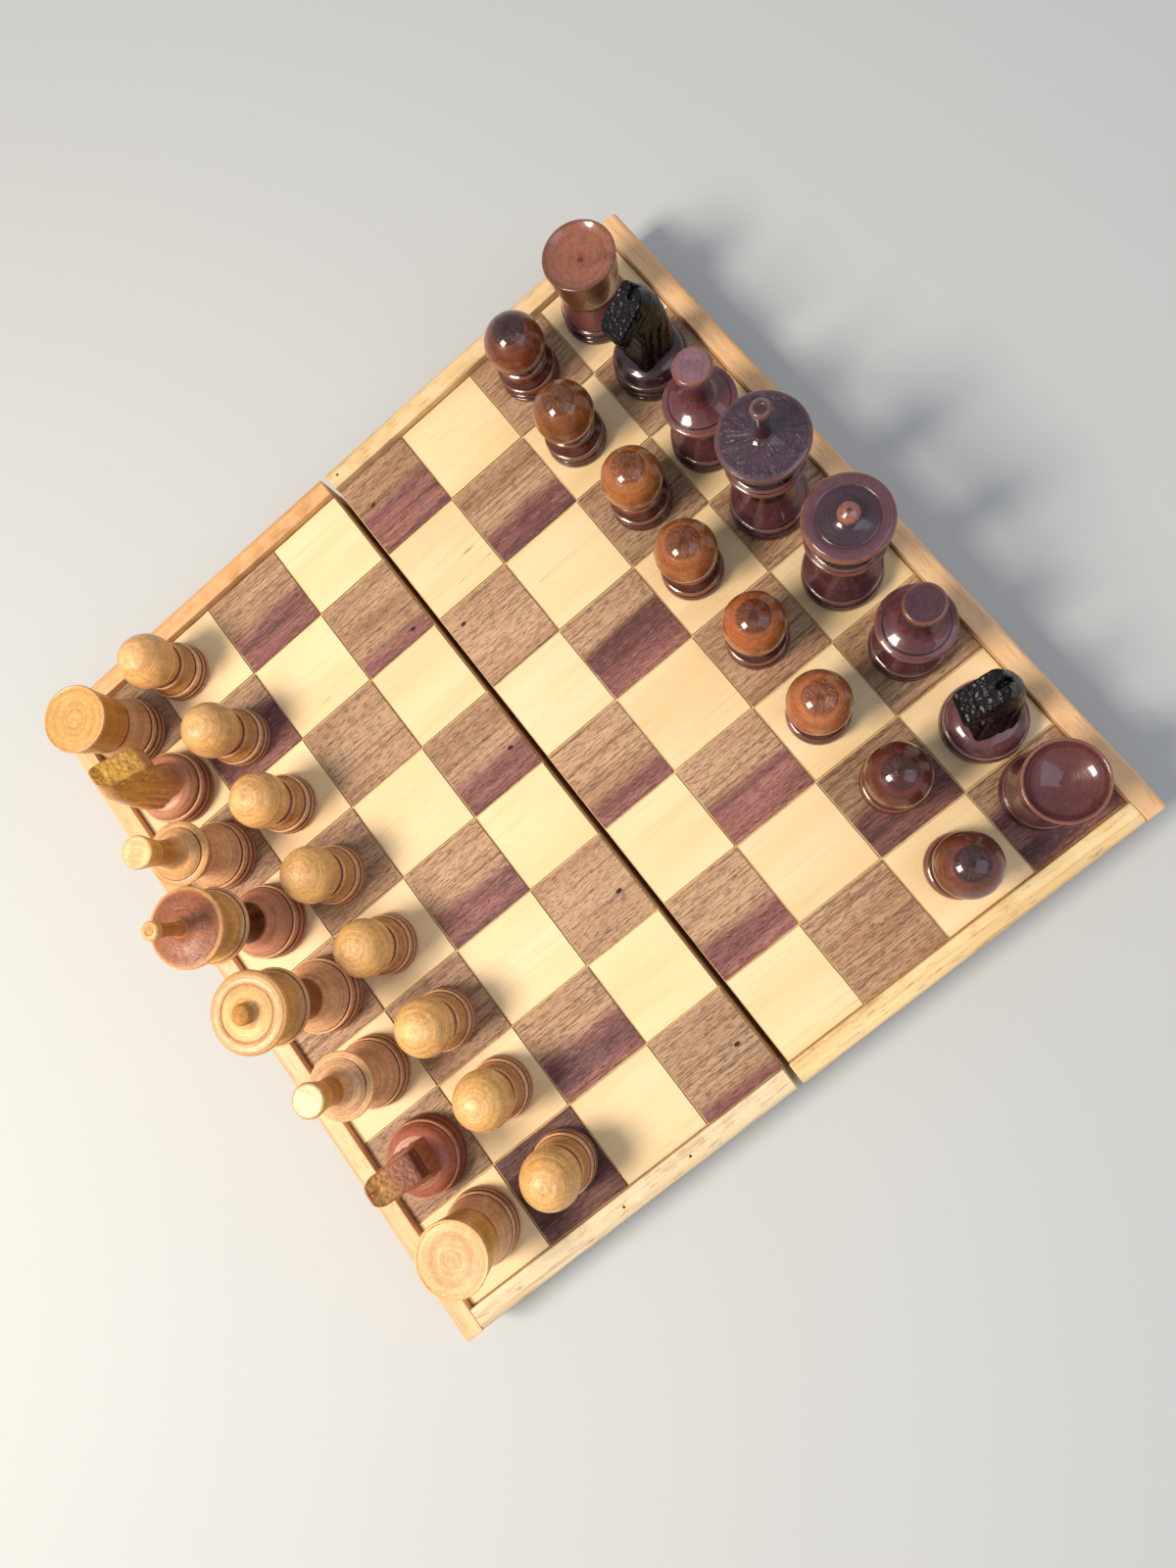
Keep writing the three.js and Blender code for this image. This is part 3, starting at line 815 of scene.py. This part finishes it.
def rook(top):
    edge, bowl, height = top["rook"], top["bowl"], 38.5
    return [
        *foot(14, 5.5),
        *bead("rim", 13.2, 7.3, 1.4),
        *groove(13, 8.4, 0.4, 0.6),
        *flow("body", (13.1, 9), (12.6, 12), (11.9, 16), (11.3, 20)),
        *groove(11.2, 20.8, 0.5, 0.7),
        *line("drum", (11.7, 21.4), (edge - 1.3, 26), (edge - 0.7, 32), (edge - 0.2, 37)),
        *line("edge", (edge, 37.8), (edge - 0.1, 38.3), (edge - 0.5, height), (edge - 0.9, height - 0.1)),
        *flow("bowl", (edge - 1.2, height - 0.3), (10.4, height - 0.48 * bowl), (7, height - 0.76 * bowl),
              (3.6, height - 0.94 * bowl), (1.6, height - bowl)),
        *line("centre", (0.8, height - bowl - 0.05), (0, height - bowl)),
    ]


def bishop(top):
    brim, peg = top["brim"], top["peg"]
    return [
        *foot(14, 5.5),
        *bead("rim", 13, 7.8, 1.4),
        *groove(12.8, 8.8, 0.4, 0.6),
        *flow("body", (12.6, 9.4), (10.8, 12.6), (8.8, 16.5), (7.8, 20), (7.6, 22.4), (9, 24.8)),
        # The waist below the rings has a darker tone: painted shade under the rings.
        *line("shaded_waist", (9.8, 25.4), (brim - 3, 26.2)),
        *bead("ring", brim - 2.4, 27.4, 1.7),
        *groove(brim - 2.6, 28.6, 0.5, 0.8),
        *bead("ring", brim - 1.4, 29.9, 1.6),
        *groove(brim - 1.5, 31, 0.4, 0.7),
        *line("edge", (brim - 0.5, 31.3), (brim, 31.9), (brim - 0.1, 32.6)),
        *line("shoulder", (brim - 0.7, 33), (brim - 2.2, 33.5)),
        *groove(brim - 2.5, 33.6, 0.5, 0.3),
        *flow("shoulder", (brim - 2.8, 33.8), (9, 34.7), (7, 36), (5.8, 37.8), (5.3, 40.6)),
        *flow("neck", (5, 42.2), (4.8, 45.5), (5, 49)),
        *flow("peg", (5.2, 50), (peg - 0.5, 53.8), (peg, 56.6)),
        *line("edge", (peg, 57.3), (peg - 0.5, 57.9)),
        *line("flat", (peg - 1.2, 58), (2, 57.9), (0, 57.95)),
    ]


def royal_stem(crown):
    return [
        *foot(15, 6),
        *bead("rim", 13.9, 8.4, 1.6),
        *groove(13.6, 9.5, 0.4, 0.6),
        *flow("body", (13.4, 10), (12, 12.2), (9.9, 15.6), (8.2, 19.6)),
        # The waist, the under stretch beneath the collar and the cone below the crown have darker tones:
        # painted shade under the collar and the crown.
        *flow("shaded_waist", (7.7, 21), (6.6, 24.6), (5.9, 28), (5.6, 31.5), (5.9, 34.5), (7.2, 37.4)),
        *flow("under", (8, 38.2), (10.6, 40.2), (13, 41.8)),
        *bead("collar", 13.4, 43, 1.8),
        *groove(13.3, 44.2, 0.4, 0.7),
        *line("collar", (13.1, 44.5), (12.6, 44.9)),
        *flow("cone", (12, 45.2), (10.7, 47.2), (10.3, 50), (10.9, 53)),
        *groove(11.1, 53.5, 0.4, 0.5),
        *flow("cone", (11.2, 53.9), (12.8, 55.8), (crown - 0.8, 57.3)),
    ]


def king(top):
    crown = top["king"]
    return [
        *royal_stem(crown),
        *flow("edge", (crown - 0.3, 57.9), (crown, 59), (crown - 0.1, 59.9), (crown - 0.6, 60.4)),
        *line("rimtop", (crown - 1.2, 60.6)),
        *flow("crown", (crown - 2, 60.8), (9, 61.7), (5.2, 62.6), (3.6, 63.4)),
        *flow("stick", (2.8, 64.3), (2.4, 67), (2.4, 73), (2.8, 77)),
        *line("tip", (3.3, 78), (3.4, 80.2), (2.8, 80.9)),
        *line("tipcentre", (1.5, 81), (1.3, 80.8), (0, 80.95)),
    ]


def queen(top):
    crown = top["queen"]
    return [
        *royal_stem(crown),
        *flow("edge", (crown - 0.4, 57.9), (crown, 59), (crown - 0.4, 60.1)),
        *flow("rimtop", (crown - 1.4, 60.8), (crown - 3, 61), (crown - 4.3, 60.8)),
        *line("rimtop", (crown - 4.6, 60.7), (crown - 4.8, 60.35), (crown - 5, 60.65)),
        *flow("disc", (crown - 5.2, 60.75), (7.4, 61.1), (5, 61.6), (3.6, 62.3)),
        *flow("tip", (3.2, 62.8), (3.8, 63.9), (3.1, 65.4), (1.4, 66.4)),
        *line("tipcentre", (0.4, 66.7), (0, 66.8)),
    ]


def knight_stand():
    return [
        *foot(15, 6),
        *bead("rim", 13.9, 8.2, 1.6),
        *groove(13.6, 9.3, 0.4, 0.6),
        *flow("body", (13.5, 9.8), (12.9, 11.4), (11.6, 12.9), (9.6, 13.9)),
        *line("body", (6, 14.4), (0, 14.5)),
    ]


# The groove tone is painted darker as shade in the cut rings.
# The waist, under and cone tones are darker as painted shade beneath the collar, the rings and the crown.
SETS = {
    "light": {
        "base": "#c8926a", "groove": "#6a2f1c", "rim": "#dcaa7c", "cove": "#c08650", "collar": "#d29e66",
        "top": "#dba868", "crown": "#dfae74", "body": "#d4a276", "drum": "#cf9a50", "edge": "#d2a46c",
        "bowl": "#cf9f6e", "centre": "#cf9c66", "shaded_waist": "#8c4e2a", "ring": "#d2985a", "flat": "#ddb27e",
        "shoulder": "#d3a276", "neck": "#b87a3a", "peg": "#d29c46", "under": "#9a5e30", "cone": "#c8924e",
        "rimtop": "#cda070", "stick": "#b8743a", "tip": "#d6a05c", "tipcentre": "#b07844",
        "disc": "#cf9f62",
    },
    "dark": {
        "base": "#4e282c", "groove": "#12070a", "rim": "#744442", "cove": "#381618", "collar": "#6c3c30",
        "top": "#6a3420", "crown": "#4c231a", "body": "#522e34", "drum": "#6b3c26", "edge": "#7a4836",
        "bowl": "#6c3a30", "centre": "#55281e", "shaded_waist": "#241012", "ring": "#5e3234", "flat": "#5c302a",
        "shoulder": "#603438", "neck": "#4c2824", "peg": "#62383a", "under": "#1e0c10", "cone": "#1f0f12",
        "rimtop": "#4c2a30", "stick": "#3c1e20", "tip": "#543438", "tipcentre": "#3e2226",
        "disc": "#3a2530",
    },
}
# Tones that single men have instead of their set's.
# The waist tones of the light king and queen are painted shade as well.
OWN_TONES = {
    "light_king": {
        "crown": "#88523c", "rimtop": "#b8804e", "edge": "#c89460", "shaded_waist": "#4e2010",
        "base": "#b87a5c", "body": "#c4886c",
    },
    "light_queen": {"edge": "#c8965c", "rimtop": "#bd8f5e", "shaded_waist": "#8a5230", "tip": "#b8843e"},
    "light_rook_a": {"bowl": "#cf9d5c", "drum": "#c48a3c"},
    "light_bishop_c": {"shoulder": "#cf9c66", "ring": "#c08450"},
    "light_knight_g": {"body": "#a0604a", "base": "#8c4e40", "rim": "#b87a5c"},
    "light_knight_b": {"body": "#b07858", "base": "#b0705a"},
    "dark_king": {"crown": "#412c3b", "edge": "#5c3c34", "rimtop": "#573d4a", "tip": "#6e4c4a"},
    "dark_queen": {"edge": "#7a4a36", "rimtop": "#573640", "tip": "#8a5a4a"},
    "dark_bishop_c": {"peg": "#6a4a50", "flat": "#73535c"},
    "dark_bishop_f": {"flat": "#4a2a34", "peg": "#5c3030"},
    "dark_rook_a": {"bowl": "#84503e", "drum": "#6e4228", "body": "#6b3e3a"},
    "dark_rook_h": {"body": "#5e3838", "bowl": "#5c2e2c", "centre": "#4a2424"},
    "dark_knight_b": {"body": "#2a181e", "base": "#2e181c", "rim": "#452c30"},
    # The dark g knight's stand is painted lighter than the set's: painted light against the shadow that
    # its head casts on it.
    "dark_knight_g": {"body": "#5c383e", "base": "#6c4244", "rim": "#84585a"},
}
PAWN_FOOT = {"base": "#63322a", "rim": "#85482f", "cove": "#4e241a", "collar": "#804430"}
PAWN_TOPS = {  # the sides and the top of each dark pawn's head
    "a": ("#74391f", "#472420"), "b": ("#82491f", "#75401f"), "c": ("#9a5c2c", "#8c4e26"),
    "d": ("#93542a", "#7c4222"), "e": ("#9a5428", "#70381f"), "f": ("#a9643a", "#985836"),
    "g": ("#5c2a1e", "#43201a"), "h": ("#6e3a28", "#4a2b2c"),
}
for letter, (side_tone, top_tone) in PAWN_TOPS.items():
    OWN_TONES[f"dark_pawn_{letter}"] = {**PAWN_FOOT, "top": side_tone, "crown": top_tone}

OUTLINES = {"pawn": pawn, "rook": rook, "bishop": bishop, "king": king, "queen": queen}
SIDES = 64


def foot_centre(node):
    """Where a man stands: the middle of his foot, on the squares."""
    verts = [v.co for v in frame["nodes"][node].data.vertices]
    floor = min(v.z for v in verts)
    ring = [v for v in verts if v.z < floor + 0.1 * MM]
    spans = [(min(v[i] for v in ring) + max(v[i] for v in ring)) / 2 for i in (0, 1)]
    return Vector((*spans, floor))


def slot_of(node):
    if "knight" in node:
        return {"dark": "black_knight", "light": "light_turned_wood"}[node.split("_")[0]]
    if node.startswith("dark_pawn"):
        return "dark_pawn_wood"
    return f"{node.split('_')[0]}_turned_wood"


def add_turned_man(node):
    side, kind = node.split("_")[:2]
    rng = random.Random(node)
    seed = rng.uniform(-5, 5)
    outline = OUTLINES[kind]({**TOPS[side], **OWN_TOPS.get(node, {})})
    palette = {**SETS[side], **OWN_TONES.get(node, {})}
    mesh = spun(f"{node}_turned", eased(outline), SIDES, palette, seed, rng.uniform(0.9, 1.1))
    finish = {"light": LIGHT_TURNED, "dark": DARK_TURNED}[side]
    show(mesh, node, slot_of(node), finish, foot_centre(node))


# ---- Carved knights ----
# Side view of the head, in millimetres: forward from the axis, and height. It runs up the back
# of the neck to the ears, down the face to the muzzle, and under the jaw to the chest.
CREST = [
    (-8.5, 10), (-10.5, 20), (-10.2, 27), (-9.8, 33), (-8.6, 40), (-6.4, 46), (-3.6, 50.6), (-1.6, 54.4)]
FACE = [(-0.2, 53), (0.8, 51.6), (4, 49), (8, 46.2), (11.4, 43.4)]
MUZZLE = [(13, 41.6), (13.4, 40.5), (13.4, 38.4), (12.6, 35.8), (10.8, 34.9)]
CHEST = [(8.4, 36.2), (6, 36.2), (4.6, 33.4), (4.3, 28), (4.9, 23), (6.6, 17), (9, 10)]
MUZZLE_TIP_MM = (13.4, 40.5)
NECK_FOOT_MM = 10
HEAD_HALF_MM = 5.5
NECK_HALF_MM = 7.5  # at the foot of the neck
NOSTRIL = Vector((11.9, 40.4))
MOUTH = (Vector((13.6, 38)), Vector((9.4, 38.6)))
JAW = (Vector((7.4, 36.6)), Vector((-2.6, 44.4)))
EYE = Vector((3.6, 46.2))
EYELID_MM = 1.4  # radius
CARVING_MM = 0.45  # size of the faces that are carved
# Depth and half width of each cut into the sides of the head. The eyeball stands out instead.
JAW_CUT, MOUTH_CUT, NOSTRIL_CUT = (0.75, 0.55), (1.0, 0.45), (0.9, 0.75)
EYELID_CUT, EYEBALL_CUT = (0.45, 0.4), (-0.4, 0.8)
UNDER_JAW_MM = 0.55  # how far the neck is set back under the jaw
FOLD_MM = 0.18  # half the depth of the gouge marks down the neck


def smoothstep(low, high, value):
    share = min(max((value - low) / (high - low), 0), 1)
    return share * share * (3 - 2 * share)


def distance_to(point, start, end):
    """How far a 2-D point is from a stretch of line."""
    along = end - start
    share = max(0, min(1, (point - start).dot(along) / along.length_squared))
    return (point - start - along * share).length


def distance_along(point, path):
    corners = [Vector(corner) for corner in path]
    return min(distance_to(point, a, b) for a, b in zip(corners, corners[1:]))


def rounded(distance, reach, edge_share):
    """Share of the thickness left this far from an edge that is rounded down to edge_share."""
    bend = 1 - min(distance / reach, 1)
    return edge_share + (1 - edge_share) * sqrt(max(1 - bend * bend, 0))


def cut_at(distance, cut):
    """How deep a cut is at this distance from its middle."""
    depth, half_width = cut
    return depth * exp(-(distance / half_width) ** 2)


def head_blank(name):
    """The head's side view sawn out of a board, as small even faces."""
    def build(bm):
        outline = CREST + FACE + MUZZLE + CHEST
        loop = [bm.verts.new((u * MM, -HEAD_HALF_MM * MM, z * MM)) for u, z in outline]
        face = bm.faces.new(loop)
        made = bmesh.ops.extrude_face_region(bm, geom=[face])["geom"]
        across = Vector((0, 2 * HEAD_HALF_MM * MM, 0))
        bmesh.ops.translate(bm, vec=across, verts=[g for g in made if isinstance(g, bmesh.types.BMVert)])
    blank = linked("blank", mesh_from("blank", build))
    even = blank.modifiers.new("even faces", "REMESH")
    even.mode = "VOXEL"
    even.voxel_size = CARVING_MM * MM
    mesh = applied(blank, name)
    bpy.data.objects.remove(blank)
    return mesh


def carve(point, rough, seed):
    """Where a point of the blank goes when the head is carved, in millimetres, and how gouged it is."""
    u, y, z = point
    flat = Vector((u, z))
    crest = distance_along(flat, CREST)
    face = distance_along(flat, FACE)
    muzzle = distance_along(flat, MUZZLE)
    chest = distance_along(flat, CHEST)
    half = HEAD_HALF_MM + (NECK_HALF_MM - HEAD_HALF_MM) * smoothstep(30, 11, z)
    half *= rounded(crest, 5.0, 0.3) * rounded(face, 0.9, 0.88)
    half *= rounded(muzzle, 2.0, 0.7) * rounded(chest, 2.4, 0.7)
    outer = smoothstep(0.5, 0.95, abs(y) / HEAD_HALF_MM)

    jaw, mouth = distance_to(flat, *JAW), distance_to(flat, *MOUTH)
    eye = (flat - EYE).length
    below_jaw = smoothstep(0.0, 1.6, JAW[0].y - z - 0.78 * (u - JAW[0].x))
    cut = cut_at(jaw, JAW_CUT) + UNDER_JAW_MM * below_jaw * smoothstep(26, 34, z)
    cut += cut_at(eye - EYELID_MM, EYELID_CUT) + cut_at(eye, EYEBALL_CUT)
    cut += cut_at((flat - NOSTRIL).length, NOSTRIL_CUT) + cut_at(mouth, MOUTH_CUT)
    fold = sin(1.5 * u + 0.42 * z + 2.2 * noise.noise(Vector((u, z, seed)) * 0.12))
    cut += FOLD_MM * (1 + fold) * smoothstep(34, 26, z) * smoothstep(1.5, 4, crest)
    chips = noise.noise(Vector((u, y, z + 40 * seed)) * 0.8)
    gouged = smoothstep(1.7, 0.5, face) * smoothstep(HEAD_HALF_MM, HEAD_HALF_MM - 0.6, abs(y))
    half -= cut * outer
    y = y / HEAD_HALF_MM * half + 0.12 * rough * chips * outer
    lift = gouged * rough * (0.5 * chips - 0.35)
    ears = smoothstep(1.3, 0.3, abs(y)) * smoothstep(50, 52.5, z)
    lips = smoothstep(1.2, 0.2, mouth) * smoothstep(2.2, 0.6, muzzle)
    u += 0.5 * lift - 1.1 * lips
    z += 0.8 * lift - 3.0 * ears
    return (u, y, z), gouged


def carved_head(node, rough, palette, seed, lean):
    mesh = head_blank(f"{node}_head")
    slope = lean / (MUZZLE_TIP_MM[1] - NECK_FOOT_MM)
    carved = [carve(Vector(v.co) / MM, rough, seed) for v in mesh.vertices]
    tints = {name: Vector(colour(code)) for name, code in palette.items()}
    away = Vector((seed, seed * 0.7, seed * 0.3))
    tones, gouges, grain = [], [], []
    for vert, (spot, gouged) in zip(mesh.vertices, carved):
        u, y, z = spot
        vert.co = Vector((u, y + slope * (z - NECK_FOOT_MM), z)) * MM
        face = tints["poll"].lerp(tints["nose"], smoothstep(3, 8, u))
        tint = tints["flank"].lerp(tints["chest"], smoothstep(30, 16, z)).lerp(face, gouged)
        tint = tint.lerp(tints["tip"], smoothstep(11, 12.6, u))
        tones.append(tuple(tint))
        gouges.append((gouged, 0, 0))
        grain.append(vert.co + away)
    store(mesh, "tone", tones)
    store(mesh, "gouged", gouges)
    store(mesh, "grain_at", grain)
    return mesh


HEAD_TONES = {
    "light_knight_b": {
        "poll": "#cf9a44", "nose": "#cf9a48", "flank": "#c48a3a", "tip": "#b07a3c", "chest": "#b87a48"},
    "light_knight_g": {
        "poll": "#c08a4c", "nose": "#a86c58", "flank": "#a8683c", "tip": "#5c2014", "chest": "#96563c"},
    "dark_knight_b": {
        "poll": "#0d0b10", "nose": "#08070b", "flank": "#050405", "tip": "#0a0808", "chest": "#0c0608"},
    "dark_knight_g": {
        "poll": "#0c0b10", "nose": "#0a090d", "flank": "#070506", "tip": "#0c0a0b", "chest": "#14090b"},
}


def stance_of(node, where):
    """The way a knight looks, and how far his muzzle leans to his left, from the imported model."""
    tips = [(v.co - where).xy for v in frame["nodes"][node].data.vertices
            if abs(v.co.z - where.z - MUZZLE_TIP_MM[1] * MM) < 0.1 * MM]
    one = tips[0]
    other = max(tips, key=lambda tip: (tip - one).length)
    across, middle = other - one, (one + other) / 2
    ahead = Vector((across.y, -across.x)).normalized()
    if ahead.dot(middle) < 0:
        ahead.negate()
    return atan2(ahead.y, ahead.x), middle.dot(Vector((-ahead.y, ahead.x))) / MM


def add_knight(node):
    side = node.split("_")[0]
    rng = random.Random(node)
    seed = rng.uniform(-5, 5)
    palette = {**SETS[side], **OWN_TONES.get(node, {})}
    slot = "red_knight" if node == "light_knight_g" else slot_of(node)
    where = foot_centre(node)
    stand = spun(f"{node}_stand", eased(knight_stand()), SIDES, palette, seed)
    stand_finish, head_finish = {
        "light": (LIGHT_TURNED, LIGHT_CARVED), "dark": (DARK_TURNED, BLACK_CARVED)}[side]
    show(stand, node, slot, stand_finish, where)
    heading, lean = stance_of(node, where)
    head = carved_head(node, 1.0 if side == "dark" else 0.8, HEAD_TONES[node], seed, lean)
    head.transform(Matrix.Rotation(heading, 4, "Z"))
    show(head, node, slot, head_finish, where)


# ---- Floor, light and camera ----


def add_floor():
    mesh = mesh_from("floor", lambda bm: bmesh.ops.create_grid(bm, x_segments=1, y_segments=1, size=2.5))
    floor = linked("floor", mesh)
    f = Finish("pale_floor", Specular_IOR_Level=0.2)
    mesh.materials.append(f.done("#b9bcbd", 0.85))


def add_area_light(name, direction, distance, size, power, tint):
    """A square soft box that looks at the middle of the board."""
    light = bpy.data.lights.new(name, "AREA")
    light.shape = "SQUARE"
    light.size = size
    light.energy = power
    light.color = colour(tint)[:3]
    lamp = linked(name, light)
    lamp.location = Vector(direction).normalized() * distance
    lamp.rotation_euler = (-Vector(direction)).to_track_quat("-Z", "Y").to_euler()


def add_lights():
    world = bpy.data.worlds.new("soft sky")
    world.use_nodes = True
    sky = world.node_tree.nodes["Background"]
    sky.inputs["Color"].default_value = colour("#eef2f7")
    sky.inputs["Strength"].default_value = 0.52
    bpy.context.scene.world = world
    add_area_light("key", (-0.15, -0.9, 1.35), distance=1.1, size=0.35, power=15, tint="#fff1de")
    add_area_light("fill", (0.7, 0.6, 1.2), distance=1.4, size=0.9, power=4, tint="#e2ecff")


CAMERA_DISTANCE = 0.3932  # from the squares it looks at
CAMERA_AIM = (0.0183, 0.0071)
CAMERA_TILT = 13.0  # degrees off the vertical
CAMERA_BEARING = 28.1  # the way it leans, in degrees from +X
PICTURE_UP_BEARING = 141.5  # the way up in the picture, in degrees from +X
LENS_MM = 23.6


def pointing(tilt, bearing):
    """The unit vector this many degrees off the vertical, leaning this many degrees from +X."""
    tilt, bearing = radians(tilt), radians(bearing)
    across = sin(tilt)
    return Vector((across * cos(bearing), across * sin(bearing), cos(tilt)))


def add_camera():
    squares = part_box("far_playing_panel")[1].z
    back = pointing(CAMERA_TILT, CAMERA_BEARING)
    up = pointing(90, PICTURE_UP_BEARING)
    right = up.cross(back).normalized()
    data = bpy.data.cameras.new("camera")
    data.lens = LENS_MM
    camera = linked("camera", data)
    turn = Matrix((right, back.cross(right), back)).transposed().to_4x4()
    spot = Vector((*CAMERA_AIM, squares)) + back * CAMERA_DISTANCE
    camera.matrix_world = Matrix.Translation(spot) @ turn
    bpy.context.scene.camera = camera


for half in HALVES:
    add_panel_core(half)
    add_inlays(half, dark=False)
    add_inlays(half, dark=True)
    add_brads(half)
    add_rails(half)
for node, shares in RAIL_NAILS.items():
    add_rail_nails(node, shares)
for label in ("a", "h"):
    add_hinge(label)
add_latch()
for node in sorted(frame["nodes"]):
    if node.startswith(("light_", "dark_")):
        (add_knight if "knight" in node else add_turned_man)(node)
add_floor()
add_lights()
add_camera()
bpy.context.scene.view_settings.view_transform = "Standard"
